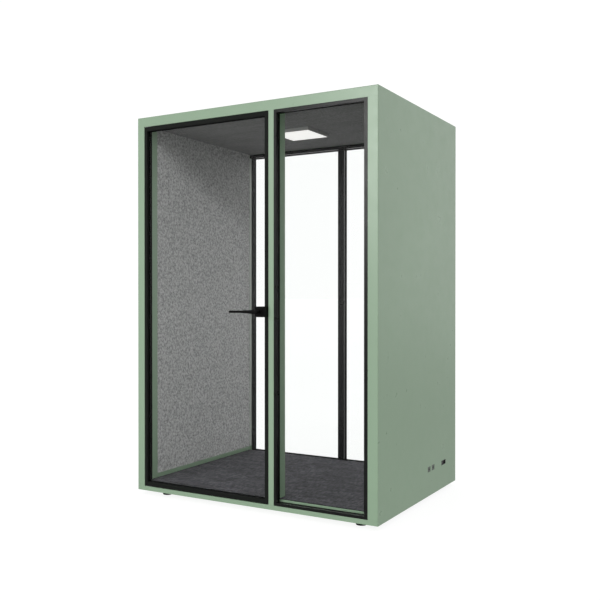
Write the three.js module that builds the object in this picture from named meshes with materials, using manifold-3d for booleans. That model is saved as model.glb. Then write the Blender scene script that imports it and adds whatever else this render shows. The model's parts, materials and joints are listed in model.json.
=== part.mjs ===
// Free-standing acoustic office pod for one or two people.
// A steel-skinned cabin with felt-lined walls, a glazed front with a framed
// glass door on the left and a fixed pane on the right, a glazed rear wall,
// a ventilated roof with a ceiling light, and levelling feet.
// Millimetres, +Z up, +X to the right when facing the door, front towards -Y.
import * as THREE from 'three';
import { mergeVertices } from 'three/addons/utils/BufferGeometryUtils.js';
import Module from 'manifold-3d';

const wasm = await Module();
wasm.setup();

// ---------------------------------------------------------------- dimensions
const W = 1610, D = 1200, H = 2300;      // outer width, depth and height
const FOOT_H = 25;                       // gap under the body
const G = 0.3;                           // gap between touching pieces
const SHEET = 2;                         // outer steel sheet
const T = 2.5;                           // wall of the hollow frame sections
const LEVER_PROUD = 62;                  // how far the outer lever stands out

const XO = W / 2, YF = -D / 2, YR = D / 2;
const XI = XO - SHEET - G;               // inside of the side sheets
const Z0 = FOOT_H, ZT = H - SHEET - G;   // underside of body, underside of roof sheet

// front frame: visible edges and the stop lips behind them
const FRAME_Y = YF + 100, REBATE_Y = YF + 40;
const JAMB_L = -755, MUL_L = 139.5, MUL_R = 173.3, JAMB_R = 746;
const HEAD = 2243, SILL = 51;
const LIP_JL = -738, LIP_ML = 126, LIP_MR = 187, LIP_JR = 731;
const LIP_HEAD = 2226, PANE_HEAD = 2231;  // stop ribs under the header, over the door and the pane
const LIP_SILL = 80.7;

// cabin lining
const WALL_X = 740, FELT_T = 10;         // felt face, felt thickness
const REAR_FRAME_Y = YR - 60;
const FLOOR_Z = 85, CARPET_T = 4, CEIL_Z = 2244, CEIL_T = 12;
const SKIRT_H = 25;
const LY0 = FRAME_Y + G, LY1 = REAR_FRAME_Y - G;   // lining runs between the frames

// door leaf
const DOOR_GAP = 3;
const DX0 = JAMB_L + DOOR_GAP, DX1 = MUL_L - DOOR_GAP;
const DZ0 = SILL + DOOR_GAP, DZ1 = HEAD - DOOR_GAP;
const DY0 = YF, DY1 = YF + 37;           // leaf front and back
const STILE = 19, LATCH_STILE = 22.5, TOP_RAIL = 24, BOTTOM_RAIL = 25;
const GLASS_IN = 8;                      // glass depth in its groove
const DG0 = YF + 12, DG1 = YF + 22;      // door glass faces
const AXIS_X = -741, AXIS_Y = YF + 7;    // door pivot axis
const PIN_R = 4;

// lock and levers
const HUB_X = 92, HUB_Z = 1124.5;
const CASE_X0 = 64, CASE_X1 = 135, CASE_H = 59;
const CASE_Y0 = YF - 25, CASE_Y1 = YF + 55;
const LEVER_TIP = -93, LEVER_T = 12;
const LATCH_THROW = 12;

// ventilation and light
const FAN_X = 540, FAN_Y = [110, 390], FAN_S = 120, FAN_H = 25, FAN_Z = CEIL_Z + CEIL_T + 3;
const LIGHT = 256, LIGHT_X = -8, LIGHT_Y = 12, LIGHT_H = 21;

// electrics on the right side sheet, as [y0, y1, z0, z1]
const INLET = [343, 417, 167, 195];
const PORT_A = [110, 155, 167, 199], PORT_B = [177, 221, 167, 199];

// ------------------------------------------------------------------ materials
const mat = (color, roughness, metalness = 0) =>
  new THREE.MeshStandardMaterial({ color, roughness, metalness });
const GREEN = mat(0x93ab93, 0.5, 0.1);        // powder-coated sage steel
const BLACK = mat(0x1b1c1c, 0.45, 0.2);       // black anodised frames
const FELT = mat(0x7f8080, 0.95);             // grey wall felt
const CEIL = mat(0x5c5d5d, 0.95);             // darker ceiling felt
const CARPET = mat(0x474b50, 1.0);
const GLASS = mat(0xe8efed, 0.05);
const CORE = mat(0xcfcabd, 0.95);             // acoustic core
const BOARD = mat(0xb99c73, 0.8);             // floor board
const STEEL = mat(0xb4b7ba, 0.35, 0.9);
const ALU = mat(0x9a9d9f, 0.4, 0.8);
const RUBBER = mat(0x191919, 0.9);
const PLASTIC = mat(0x202122, 0.55);
const GREY = mat(0x6f7471, 0.6);
const WHITE = mat(0xffffff, 0.4);

// -------------------------------------------------------------------- helpers
const box = (x0, x1, y0, y1, z0, z1) =>
  new THREE.BoxGeometry(x1 - x0, y1 - y0, z1 - z0)
    .translate((x0 + x1) / 2, (y0 + y1) / 2, (z0 + z1) / 2);

function cyl(axis, r0, r1, a0, a1, p, q, n = 28) {
  // a cylinder or cone from a0 to a1 along an axis, at p, q on the other two
  const g = new THREE.CylinderGeometry(r1, r0, a1 - a0, n);
  const m = (a0 + a1) / 2;
  if (axis === 'x') return g.rotateZ(-Math.PI / 2).translate(m, p, q);
  if (axis === 'y') return g.translate(p, m, q);
  return g.rotateX(Math.PI / 2).translate(p, q, m);
}

function prism(points, axis, a0, a1) {
  // an extruded outline: axis z takes [x, y], axis y takes [x, z]
  const s = new THREE.Shape(points.map(([u, v]) => new THREE.Vector2(u, v)));
  const g = new THREE.ExtrudeGeometry(s, { depth: a1 - a0, bevelEnabled: false });
  if (axis === 'z') return g.translate(0, 0, a0);
  return g.rotateX(Math.PI / 2).translate(0, a1, 0);
}

function loft(rings) {
  // a closed skin over rings of points, with a flat cap at each end
  const n = rings[0].length, v = [], t = [];
  rings.forEach(r => r.forEach(p => v.push(...p)));
  const mid = r => r.reduce((a, p) => a.map((c, i) => c + p[i] / n), [0, 0, 0]);
  v.push(...mid(rings[0]), ...mid(rings.at(-1)));
  const a = rings.length * n, b = a + 1, last = (rings.length - 1) * n;
  for (let k = 0; k + 1 < rings.length; k++)
    for (let i = 0; i < n; i++) {
      const j = (i + 1) % n, o = k * n;
      t.push(o + i, o + j, o + n + j, o + i, o + n + j, o + n + i);
    }
  for (let i = 0; i < n; i++) {
    const j = (i + 1) % n;
    t.push(a, j, i, b, last + i, last + j);
  }
  let vol = 0;
  for (let i = 0; i < t.length; i += 3) {
    const [p, q, r] = [t[i], t[i + 1], t[i + 2]].map(k => new THREE.Vector3(...v.slice(3 * k, 3 * k + 3)));
    vol += p.dot(q.cross(r));
  }
  if (vol < 0) for (let i = 0; i < t.length; i += 3) [t[i], t[i + 1]] = [t[i + 1], t[i]];
  const g = new THREE.BufferGeometry();
  g.setAttribute('position', new THREE.Float32BufferAttribute(v, 3));
  g.setIndex(t);
  return g;
}

function solid(g) {
  const c = g.clone();
  c.deleteAttribute('normal');
  c.deleteAttribute('uv');
  const m = mergeVertices(c, 1e-4);
  return new wasm.Manifold(new wasm.Mesh({
    numProp: 3,
    vertProperties: new Float32Array(m.attributes.position.array),
    triVerts: new Uint32Array(m.index.array),
  }));
}
function surface(m) {
  const k = m.getMesh();
  const g = new THREE.BufferGeometry();
  g.setAttribute('position', new THREE.BufferAttribute(new Float32Array(k.vertProperties), 3));
  g.setIndex(new THREE.BufferAttribute(new Uint32Array(k.triVerts), 1));
  return g;
}
const join = (...gs) => surface(gs.map(solid).reduce((a, b) => a.add(b)));
const cut = (g, ...tools) => surface(tools.map(solid).reduce((a, b) => a.subtract(b), solid(g)));
const grow = (b, e) => box(b[0] - e, b[1] + e, b[2] - e, b[3] + e, b[4] - e, b[5] + e);

// ----------------------------------------------------------------- assembly
const pod = new THREE.Group();
pod.name = 'acoustic_office_pod';
pod.position.set(0, LEVER_PROUD / 2, 0);       // origin under the middle of the whole outline

function group(parent, x, y, z) {
  const g = new THREE.Group();
  g.position.set(x, y, z);
  g.userData.at = new THREE.Vector3(x, y, z).add(parent.userData.at ?? new THREE.Vector3());
  parent.add(g);
  return g;
}
const shell = group(pod, 0, 0, 0);
const door = group(pod, AXIS_X, AXIS_Y, 0);
const lever = group(door, HUB_X - AXIS_X, YF - AXIS_Y, HUB_Z);
const latch = group(door, DX1 - AXIS_X, YF + 18 - AXIS_Y, HUB_Z);
const fans = FAN_Y.map(y => group(shell, FAN_X, y, FAN_Z));

function piece(parent, name, geometry, material) {
  geometry.computeBoundingBox();
  const c = geometry.boundingBox.getCenter(new THREE.Vector3());
  const g = geometry.translate(-c.x, -c.y, -c.z);
  g.computeVertexNormals();
  const m = new THREE.Mesh(g, material);
  m.name = name;
  m.position.copy(c).sub(parent.userData.at);
  parent.add(m);
  return m;
}

// --------------------------------------------------------------------- base
// levelling feet: rubber pad, hexagon and threaded stem in one turned piece
const FOOT_R = 30, STEM_R = 6, STEM_TOP = 45;
const FEET = [['foot_front_left', -635, -525], ['foot_front_right', 675, -525],
              ['foot_rear_left', -635, 570], ['foot_rear_right', 675, 570]];
for (const [name, x, y] of FEET) {
  const profile = [[0, 0], [27, 0], [FOOT_R, 3], [FOOT_R, 6], [25, 9], [11, 11], [11, 17], [STEM_R, 18],
                   [STEM_R, STEM_TOP - 1], [STEM_R - 1, STEM_TOP], [0, STEM_TOP]].map(p => new THREE.Vector2(...p));
  piece(shell, name, new THREE.LatheGeometry(profile, 24).rotateX(Math.PI / 2).translate(x, y, 0), RUBBER);
}
const bore = (x, y) => cyl('z', STEM_R + 0.5, STEM_R + 0.5, Z0 - 5, STEM_TOP + 2, x, y);

// steel floor tray with two ribs, floor board, and carpet that runs on over the front sill
const TRAY_Z = 61;
piece(shell, 'base_tray', cut(box(-XI, XI, LY0, LY1, Z0, TRAY_Z),
  box(-XI + 3, -268, LY0 + 3, LY1 - 3, Z0 + 3, TRAY_Z + 5),
  box(-265, 265, LY0 + 3, LY1 - 3, Z0 + 3, TRAY_Z + 5),
  box(268, XI - 3, LY0 + 3, LY1 - 3, Z0 + 3, TRAY_Z + 5)), STEEL);
piece(shell, 'floor_board', box(-WALL_X - FELT_T, WALL_X + FELT_T, LY0, LY1, TRAY_Z + G, FLOOR_Z - CARPET_T - G), BOARD);
piece(shell, 'carpet', box(-WALL_X - FELT_T, WALL_X + FELT_T, REBATE_Y + 3, LY1, FLOOR_Z - CARPET_T, FLOOR_Z), CARPET);

// -------------------------------------------------------------- front frame
// hollow sections with a stop lip behind the rebate, open at both ends
const jamb = (x0, x1, lx0, lx1, ...pockets) => cut(join(
  box(x0, x1, YF, REBATE_Y - G, SILL + G, HEAD - G),
  box(lx0, lx1, REBATE_Y - G - 0.2, FRAME_Y, FLOOR_Z + G, HEAD - G)),
  box(x0 + T, x1 - T, YF + T, REBATE_Y - G - T, 0, H),
  box(lx0 + T, lx1 - T, REBATE_Y + T, FRAME_Y - T, 0, H), ...pockets);
const hollowX = (y0, y1, z0, z1) => box(-XO - 9, XO + 9, y0 + T, y1 - T, z0 + T, z1 - T);
piece(shell, 'front_left_jamb', jamb(-XI, JAMB_L, -XI, LIP_JL), GREEN);
piece(shell, 'front_right_jamb', jamb(JAMB_R, XI, LIP_JR, XI), GREEN);
const STRIKE = [MUL_L - 1, MUL_L + LATCH_THROW - 0.5, YF + 9.5, YF + 26.5, HUB_Z - 12.5, HUB_Z + 12.5];
piece(shell, 'front_mullion', jamb(MUL_L, MUL_R, LIP_ML, LIP_MR, box(...STRIKE)), GREEN);
piece(shell, 'front_header', join(cut(join(
  box(-XI, XI, YF, REBATE_Y, HEAD, ZT), box(-XI, XI, REBATE_Y - 0.2, FRAME_Y, CEIL_Z, ZT)),
  hollowX(YF, REBATE_Y, HEAD, ZT), hollowX(REBATE_Y, FRAME_Y, CEIL_Z, ZT)),
  box(LIP_JL + G, LIP_ML - G, REBATE_Y, REBATE_Y + 12, LIP_HEAD, CEIL_Z + 1),
  box(LIP_MR + G, LIP_JR - G, REBATE_Y, REBATE_Y + 12, PANE_HEAD, CEIL_Z + 1)), GREEN);
piece(shell, 'front_sill', cut(join(
  box(-XI, XI, YF, REBATE_Y, Z0, SILL), box(-XI, XI, REBATE_Y - 0.2, FRAME_Y, Z0, LIP_SILL)),
  hollowX(YF, REBATE_Y, Z0, SILL), hollowX(REBATE_Y, FRAME_Y, Z0, LIP_SILL),
  bore(FEET[0][1], FEET[0][2]), bore(FEET[1][1], FEET[1][2])), GREEN);

// fixed pane on the right: glass held between the stop lips and a black bead
const BEAD = { left: 18, right: 21.5, top: 18, bottom: 16.5 }, BEAD_T = 27;
piece(shell, 'front_bead_frame', cut(
  box(MUL_R + G, JAMB_R - G, YF, YF + BEAD_T, SILL + G, HEAD - G),
  box(MUL_R + BEAD.left, JAMB_R - BEAD.right, YF - 5, YF + BEAD_T + 5, SILL + BEAD.bottom, HEAD - BEAD.top)), BLACK);
piece(shell, 'front_glass', box(MUL_R + 3, JAMB_R - 3, YF + BEAD_T + G, REBATE_Y - 0.8, SILL + 3, HEAD - 3), GLASS);

// doorway fittings: threshold strip, door seal that wraps round the stop lips, pivots and strike plate
piece(shell, 'threshold_strip', join(
  box(LIP_JL + 2.2, LIP_ML - 2.2, REBATE_Y - 1.7, REBATE_Y - G, 70.3, LIP_SILL + 1.3),
  box(LIP_JL + 2.2, LIP_ML - 2.2, REBATE_Y - 1.7, REBATE_Y + 2.6, LIP_SILL + G, LIP_SILL + 1.3)), ALU);
piece(shell, 'door_seal', cut(join(
  box(LIP_JL - 9, LIP_ML + 9, REBATE_Y - 2.2, REBATE_Y - 0.6, 62, LIP_HEAD + 9),
  box(LIP_JL + G, LIP_ML - G, REBATE_Y - 1.5, REBATE_Y + 10, FLOOR_Z + 1, LIP_HEAD - G)),
  box(LIP_JL + 1.8, LIP_ML - 1.8, REBATE_Y - 5, REBATE_Y + 15, 70, LIP_HEAD - 1.8)), RUBBER);
const PIVOT = [AXIS_X - 9, AXIS_X + 40, YF + 2, YF + 20];
piece(shell, 'bottom_pivot', join(
  box(...PIVOT, SILL + G, SILL + 2), cyl('z', PIN_R, PIN_R, SILL + 1, DZ0 + 15, AXIS_X, AXIS_Y)), STEEL);
piece(shell, 'top_pivot', join(
  box(...PIVOT, HEAD - 2, HEAD - G), cyl('z', PIN_R, PIN_R, DZ1 - 8, HEAD - 1, AXIS_X, AXIS_Y)), STEEL);
piece(shell, 'strike_plate', cut(
  box(MUL_L - 1.5, MUL_L - G, YF + 3, YF + 34, HUB_Z - 40, HUB_Z + 40),
  box(MUL_L - 5, MUL_L + 5, YF + 10, YF + 26, HUB_Z - 11.5, HUB_Z + 11.5)), STEEL);

// --------------------------------------------------------------- rear frame
const REAR_SILL = 63.7, REAR_BEAD = 16, REAR_BEAD_TOP = 23.7;
piece(shell, 'rear_header', cut(box(-XI, XI, REAR_FRAME_Y, YR, CEIL_Z, ZT),
  hollowX(REAR_FRAME_Y, YR, CEIL_Z, ZT)), GREEN);
piece(shell, 'rear_sill', cut(box(-XI, XI, REAR_FRAME_Y, YR, Z0, REAR_SILL),
  hollowX(REAR_FRAME_Y, YR, Z0, REAR_SILL),
  bore(FEET[2][1], FEET[2][2]), bore(FEET[3][1], FEET[3][2])), GREEN);
const rearJamb = (x0, x1) => cut(box(x0, x1, REAR_FRAME_Y, YR, REAR_SILL + G, CEIL_Z - G),
  box(x0 + T, x1 - T, REAR_FRAME_Y + T, YR - T, 0, H));
piece(shell, 'rear_left_jamb', rearJamb(-XI, -WALL_X), GREEN);
piece(shell, 'rear_right_jamb', rearJamb(WALL_X, XI), GREEN);

const RB = { x: WALL_X - G, z0: REAR_SILL + G, z1: CEIL_Z - G, y0: YR - 31, y1: YR - 1 };
const PANE_Y = [YR - 16, YR - 6], MULLION_X = 23;
const RZ0 = RB.z0 + REAR_BEAD, RZ1 = RB.z1 - REAR_BEAD_TOP;   // daylight edges
const paneL = [-RB.x + REAR_BEAD - 9, -MULLION_X + 8, ...PANE_Y, RZ0 - 9, RZ1 + 9];
const paneR = [MULLION_X - 8, RB.x - REAR_BEAD + 9, ...PANE_Y, RZ0 - 9, RZ1 + 9];
const grooves = [paneL, paneR].map(p => grow(p, 0.4));
piece(shell, 'rear_bead_frame', cut(join(box(-RB.x, RB.x, RB.y0, RB.y1, RB.z0, RB.z1),
  box(-RB.x, RB.x, REAR_FRAME_Y + 1, RB.y0 + 1, RZ1, RB.z1)),
  box(-RB.x + REAR_BEAD, RB.x - REAR_BEAD, REAR_FRAME_Y - 5, RB.y1 + 5, RZ0, RZ1),
  ...grooves), BLACK);
piece(shell, 'rear_mullion', cut(
  box(-MULLION_X, MULLION_X, YR - 43, RB.y1, RZ0 + G, RZ1 - G), ...grooves), BLACK);
piece(shell, 'rear_glass_left', box(...paneL), GLASS);
piece(shell, 'rear_glass_right', box(...paneR), GLASS);

// --------------------------------------------------------------- side walls
const CORE_X = WALL_X + FELT_T + G;
for (const [side, s] of [['left', -1], ['right', 1]]) {
  const b = (x0, x1, ...r) => s < 0 ? box(-x1, -x0, ...r) : box(x0, x1, ...r);
  let sheet = b(XO - SHEET, XO, YF, YR, Z0, H);
  let core = b(CORE_X, XI, LY0, LY1, TRAY_Z + G, ZT);
  if (s > 0) {
    sheet = cut(sheet, ...[INLET, PORT_A, PORT_B].map(r => box(XO - 10, XO + 10, ...r)));
    core = cut(core, box(764, XO, INLET[0] - 9, INLET[1] + 9, INLET[2] - 9, INLET[3] + 9),
      box(774, XO, PORT_A[0] - 9, PORT_B[1] + 9, PORT_A[2] - 9, PORT_A[3] + 9));
  }
  piece(shell, `${side}_outer_panel`, sheet, GREEN);
  piece(shell, `${side}_acoustic_core`, core, CORE);
  piece(shell, `${side}_felt_panel`, b(WALL_X, WALL_X + FELT_T, LY0, LY1, FLOOR_Z + SKIRT_H + G, CEIL_Z + CEIL_T - G), FELT);
  piece(shell, `${side}_skirting`, b(WALL_X - 1.5, WALL_X + FELT_T, LY0, LY1, FLOOR_Z + G, FLOOR_Z + SKIRT_H), GREEN);
}

// ------------------------------------------------------------ roof, ceiling
const ventSlots = FAN_Y.flatMap(y => [-3, -2, -1, 0, 1, 2, 3].map(k =>
  box(FAN_X + k * 14 - 4, FAN_X + k * 14 + 4, y - 48, y + 48, H - 10, H + 10)));
piece(shell, 'roof_panel', cut(box(-XI, XI, YF, YR, H - SHEET, H), ...ventSlots), GREEN);
const CORE_Z = CEIL_Z + CEIL_T + G;
piece(shell, 'roof_acoustic_core', cut(box(-WALL_X - FELT_T, WALL_X + FELT_T, LY0, LY1, CORE_Z, ZT),
  ...FAN_Y.flatMap(y => [
    box(FAN_X - FAN_S / 2 - 1, FAN_X + FAN_S / 2 + 1, y - FAN_S / 2 - 1, y + FAN_S / 2 + 1, CORE_Z - 5, FAN_Z + FAN_H + 1),
    cyl('z', 56, 56, FAN_Z, H, FAN_X, y, 32)])), CORE);
piece(shell, 'ceiling_felt_panel', cut(box(-WALL_X + G, WALL_X - G, LY0, LY1, CEIL_Z, CEIL_Z + CEIL_T),
  ...FAN_Y.map(y => cyl('z', 52, 52, CEIL_Z - 5, CEIL_Z + 20, FAN_X, y, 32))), CEIL);

// flat ceiling light: an open tray under the ceiling felt with the diffuser set in its mouth
const square = (h, z0, z1) => box(LIGHT_X - h, LIGHT_X + h, LIGHT_Y - h, LIGHT_Y + h, z0, z1);
const HL = LIGHT / 2, LIGHT_Z = CEIL_Z - LIGHT_H;
piece(shell, 'light_housing', cut(square(HL, LIGHT_Z, CEIL_Z - G), square(HL - 2.5, LIGHT_Z - 5, CEIL_Z - 3)), STEEL);
piece(shell, 'light_diffuser', square(HL - 2.9, LIGHT_Z - 0.5, LIGHT_Z + 5), WHITE);

// two axial fans, each with a ceiling grille below and vent slots above
FAN_Y.forEach((y, i) => {
  const n = i + 1, h = FAN_S / 2;
  const struts = [0, 1, 2, 3].map(k => box(-4, 4, 0, 58, 0, 3).rotateZ(k * Math.PI / 2 + 0.5).translate(FAN_X, y, FAN_Z));
  piece(shell, `fan_${n}_frame`, join(
    cut(box(FAN_X - h, FAN_X + h, y - h, y + h, FAN_Z, FAN_Z + FAN_H), cyl('z', 56.5, 56.5, FAN_Z - 5, FAN_Z + FAN_H + 5, FAN_X, y, 40)),
    cyl('z', 21, 21, FAN_Z, FAN_Z + 3, FAN_X, y), ...struts), PLASTIC);
  const blades = [...Array(7).keys()].map(k => {
    const sec = (r, chord, pitch) => {
      const c = Math.cos(pitch) * chord / 2, s = Math.sin(pitch) * chord / 2;
      const nx = Math.sin(pitch), nz = Math.cos(pitch);
      return [[-c - nx * 0.2, -s + nz * 0.2], [-nx * 1.2, nz * 1.2], [c - nx * 0.2, s + nz * 0.2],
              [c + nx * 0.2, s - nz * 0.2], [nx * 0.6, -nz * 0.6], [-c + nx * 0.2, -s - nz * 0.2]]
        .map(([u, w]) => [u, r, w + 14]);
    };
    return loft([sec(15, 22, 0.72), sec(35, 29, 0.56), sec(52, 31, 0.42)])
      .rotateZ(k * 2 * Math.PI / 7).translate(FAN_X, y, FAN_Z);
  });
  piece(fans[i], `fan_${n}_rotor`, join(cyl('z', 21, 20, FAN_Z + 4, FAN_Z + 23, FAN_X, y), ...blades), PLASTIC);
  piece(shell, `ceiling_grille_${n}`, join(
    cut(cyl('z', 61, 64, CEIL_Z - 3.5, CEIL_Z - G, FAN_X, y, 40), cyl('z', 50, 50, CEIL_Z - 10, CEIL_Z + 10, FAN_X, y, 40)),
    ...[-3, -2, -1, 0, 1, 2, 3].map(k => {
      const l = Math.sqrt(52 * 52 - (k * 13) ** 2);
      return box(FAN_X + k * 13 - 2.5, FAN_X + k * 13 + 2.5, y - l, y + l, CEIL_Z - 3, CEIL_Z - 0.8);
    })), PLASTIC);
});

// -------------------------------------------------------- door leaf and lock
const paneD = [DX0 + STILE - GLASS_IN + 0.4, DX1 - LATCH_STILE + GLASS_IN - 0.4, DG0, DG1,
               DZ0 + BOTTOM_RAIL - GLASS_IN + 0.4, DZ1 - TOP_RAIL + GLASS_IN - 0.4];
const grooveD = grow(paneD, 0.4);
const SX0 = DX0 + STILE, SX1 = DX1 - LATCH_STILE;
piece(door, 'door_hinge_stile', cut(
  prism([[DX0, DY0], [SX0, DY0], [SX0, DY1], [DX0 + 6, DY1], [DX0, DY1 - 6]], 'z', DZ0, DZ1), grooveD,
  cyl('z', PIN_R + G, PIN_R + G, DZ0 - 5, DZ0 + 16, AXIS_X, AXIS_Y),
  cyl('z', PIN_R + G, PIN_R + G, DZ1 - 9, DZ1 + 5, AXIS_X, AXIS_Y)), BLACK);
const BOLT = { y0: YF + 12, y1: YF + 24, z0: HUB_Z - 8, z1: HUB_Z + 8 };
piece(door, 'door_latch_stile', cut(box(SX1, DX1, DY0, DY1, DZ0, DZ1), grooveD,
  box(SX1 - 5, DX1 + 5, BOLT.y0 - 0.4, BOLT.y1 + 0.4, BOLT.z0 - 0.4, BOLT.z1 + 0.4)), BLACK);
piece(door, 'door_top_rail', cut(box(SX0 + G, SX1 - G, DY0, DY1, DZ1 - TOP_RAIL, DZ1), grooveD), BLACK);
piece(door, 'door_bottom_rail', cut(box(SX0 + G, SX1 - G, DY0, DY1, DZ0, DZ0 + BOTTOM_RAIL), grooveD), BLACK);
const CZ0 = HUB_Z - CASE_H / 2, CZ1 = HUB_Z + CASE_H / 2;
piece(door, 'door_glass', cut(box(...paneD),
  box(CASE_X0 + 4, DX1, DG0 - 5, DG1 + 5, CZ0 + 6, CZ1 - 6)), GLASS);
const CASE_XI = SX1 - G;
piece(door, 'lock_case', cut(join(
  box(CASE_X0, CASE_X1, CASE_Y0, YF - G, CZ0, CZ1),
  box(CASE_X0, CASE_XI, YF - 1, DG0 - G, CZ0, CZ1),
  box(CASE_X0 + 4.4, CASE_XI, DG0 - 1, DG1 + 1, CZ0 + 6.4, CZ1 - 6.4),
  box(CASE_X0, CASE_XI, DG1 + G, CASE_Y1, CZ0, CZ1)),
  cyl('y', 6.2, 6.2, CASE_Y0 - 5, CASE_Y1 + 5, HUB_X, HUB_Z),
  box(HUB_X, CASE_XI + 5, BOLT.y0 - 0.4, BOLT.y1 + 0.4, BOLT.z0 - 0.4, BOLT.z1 + 0.4)), BLACK);

// lever handles on both faces, the outer one carrying the square spindle
function leverArm(y) {
  const oval = (x, h, t) => [...Array(16).keys()].map(k => {
    const a = 2 * Math.PI * k / 16, e = v => Math.sign(v) * Math.abs(v) ** 0.8;
    return [x, y + e(Math.cos(a)) * t / 2, HUB_Z + e(Math.sin(a)) * h / 2];
  });
  return loft([oval(HUB_X + 12, 8, 5), oval(HUB_X + 10, 18, 10), oval(HUB_X, 22, LEVER_T), oval(HUB_X - 28, 20, LEVER_T),
    oval(HUB_X - 60, 15, LEVER_T), oval(HUB_X - 100, 12.5, LEVER_T), oval(LEVER_TIP + 4, 12, LEVER_T), oval(LEVER_TIP, 8, 7)]);
}
const ARM_OUT = YF - LEVER_PROUD + LEVER_T / 2, ARM_IN = YF + 87;
const SP = 4;                                     // half of the square spindle
piece(lever, 'outer_lever', join(leverArm(ARM_OUT),
  cyl('y', 10, 10, ARM_OUT, CASE_Y0 - G, HUB_X, HUB_Z),
  box(HUB_X - SP, HUB_X + SP, ARM_OUT, ARM_IN - 4, HUB_Z - SP, HUB_Z + SP)), BLACK);
piece(lever, 'inner_lever', cut(join(leverArm(ARM_IN),
  cyl('y', 10, 10, CASE_Y1 + G, ARM_IN, HUB_X, HUB_Z)),
  box(HUB_X - SP - G, HUB_X + SP + G, CASE_Y1 - 5, ARM_IN - 4 + G, HUB_Z - SP - G, HUB_Z + SP + G)), BLACK);

// latch bolt with a bevelled nose
const NOSE = DX1 + LATCH_THROW, TAIL = DX1 - 25;
piece(latch, 'latch_bolt', prism([[TAIL, BOLT.y0], [NOSE, BOLT.y0], [NOSE, BOLT.y0 + 3], [NOSE - 9, BOLT.y1],
  [TAIL, BOLT.y1]], 'z', BOLT.z0, BOLT.z1), STEEL);

// ---------------------------------------------------------------- electrics
// mains inlet and a pair of data sockets, flush in the right side sheet
const IY = (INLET[0] + INLET[1]) / 2, IZ = (INLET[2] + INLET[3]) / 2, RY = IY + 12;
piece(shell, 'power_inlet', join(cut(join(
  box(798, XI - G, INLET[0] - 5, INLET[1] + 5, INLET[2] - 5, INLET[3] + 5),
  box(797, XO - 0.4, INLET[0] + 0.5, INLET[1] - 0.5, INLET[2] + 0.5, INLET[3] - 0.5),
  box(768, 799, INLET[0] + 6, INLET[1] - 6, INLET[2] + 1, INLET[3] - 1)),
  box(782, XO + 5, RY - 14, RY + 14, IZ - 10, IZ + 10)),
  ...[[-7, -2], [0, 3], [7, -2]].map(([dy, dz]) => box(781, 793, RY + dy - 1, RY + dy + 1, IZ + dz - 2.2, IZ + dz + 2.2))), PLASTIC);
const PZ = (PORT_A[2] + PORT_A[3]) / 2;
const faces = [PORT_A, PORT_B].map(r => box(797.5, XO - 0.4, r[0] + 0.5, r[1] - 0.5, r[2] + 0.5, r[3] - 0.5));
const jacks = [PORT_A, PORT_B].map(r => box(777, 799, (r[0] + r[1]) / 2 - 10, (r[0] + r[1]) / 2 + 10, PZ - 9, PZ + 9));
const mouths = [PORT_A, PORT_B].map(r => box(780, XO + 5, (r[0] + r[1]) / 2 - 6.5, (r[0] + r[1]) / 2 + 6.5, PZ - 5.5, PZ + 5.5));
piece(shell, 'data_sockets', cut(join(
  box(797, 800, PORT_A[0] - 6, PORT_B[1] + 6, PORT_A[2] - 6, PORT_A[3] + 6), ...faces, ...jacks), ...mouths), GREY);

// switch plate on the right wall inside, with a rocker each for light and fans
const PLATE = [731, WALL_X - G, -230, -80, 1060, 1146], ROCK = [['light_switch', -188], ['fan_switch', -122]];
const PLATE_Z = (PLATE[4] + PLATE[5]) / 2, ROCK_X = 735, TILT = 4 * Math.PI / 180;
piece(shell, 'switch_plate', cut(box(...PLATE),
  ...ROCK.map(([, y]) => box(PLATE[0] - 5, 737.2, y - 20.6, y + 20.6, PLATE_Z - 28, PLATE_Z + 28))), WHITE);
for (const [name, y] of ROCK) {
  const g = group(shell, ROCK_X, y, PLATE_Z);
  const profile = [[1.4, 0], [-0.8, 27], [-4.5, 27], [-3, 0], [-4.5, -27], [-0.8, -27]];
  piece(g, name, prism(profile, 'y', -20, 20).rotateY(TILT).translate(ROCK_X, y, PLATE_Z), WHITE);
}

export default pod;
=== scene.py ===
import json
import math

import bmesh
import bpy
from mathutils import Matrix, Vector, noise

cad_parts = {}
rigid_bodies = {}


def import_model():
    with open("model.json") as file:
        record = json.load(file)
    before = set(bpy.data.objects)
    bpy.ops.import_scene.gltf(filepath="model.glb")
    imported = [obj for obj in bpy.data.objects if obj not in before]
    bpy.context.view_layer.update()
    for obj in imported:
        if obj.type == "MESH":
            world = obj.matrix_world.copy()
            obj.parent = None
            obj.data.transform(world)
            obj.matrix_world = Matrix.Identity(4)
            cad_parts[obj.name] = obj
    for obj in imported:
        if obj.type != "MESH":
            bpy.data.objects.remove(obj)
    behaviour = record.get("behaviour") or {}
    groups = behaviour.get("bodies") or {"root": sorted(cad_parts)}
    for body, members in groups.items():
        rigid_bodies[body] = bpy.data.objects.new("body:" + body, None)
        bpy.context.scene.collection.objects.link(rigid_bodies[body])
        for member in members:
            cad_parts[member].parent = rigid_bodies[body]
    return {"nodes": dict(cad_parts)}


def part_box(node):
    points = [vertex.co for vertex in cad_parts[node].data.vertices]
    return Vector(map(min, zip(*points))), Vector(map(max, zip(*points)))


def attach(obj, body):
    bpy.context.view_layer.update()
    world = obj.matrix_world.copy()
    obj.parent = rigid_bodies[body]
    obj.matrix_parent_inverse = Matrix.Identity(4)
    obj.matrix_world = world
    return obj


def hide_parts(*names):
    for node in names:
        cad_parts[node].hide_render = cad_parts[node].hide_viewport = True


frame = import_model()
NODES = frame["nodes"]
scene = bpy.context.scene
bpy.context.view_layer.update()                     # the CAD model's box


# ------------------------------------------------------------------ small help
DY = 31.0                              # the cabin's own middle is 31 mm behind the origin


def P(x, y, z):
    """A point given in millimetres from the cabin's middle, in the shared frame."""
    return Vector((x / 1000, (y + DY) / 1000, z / 1000))


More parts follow.
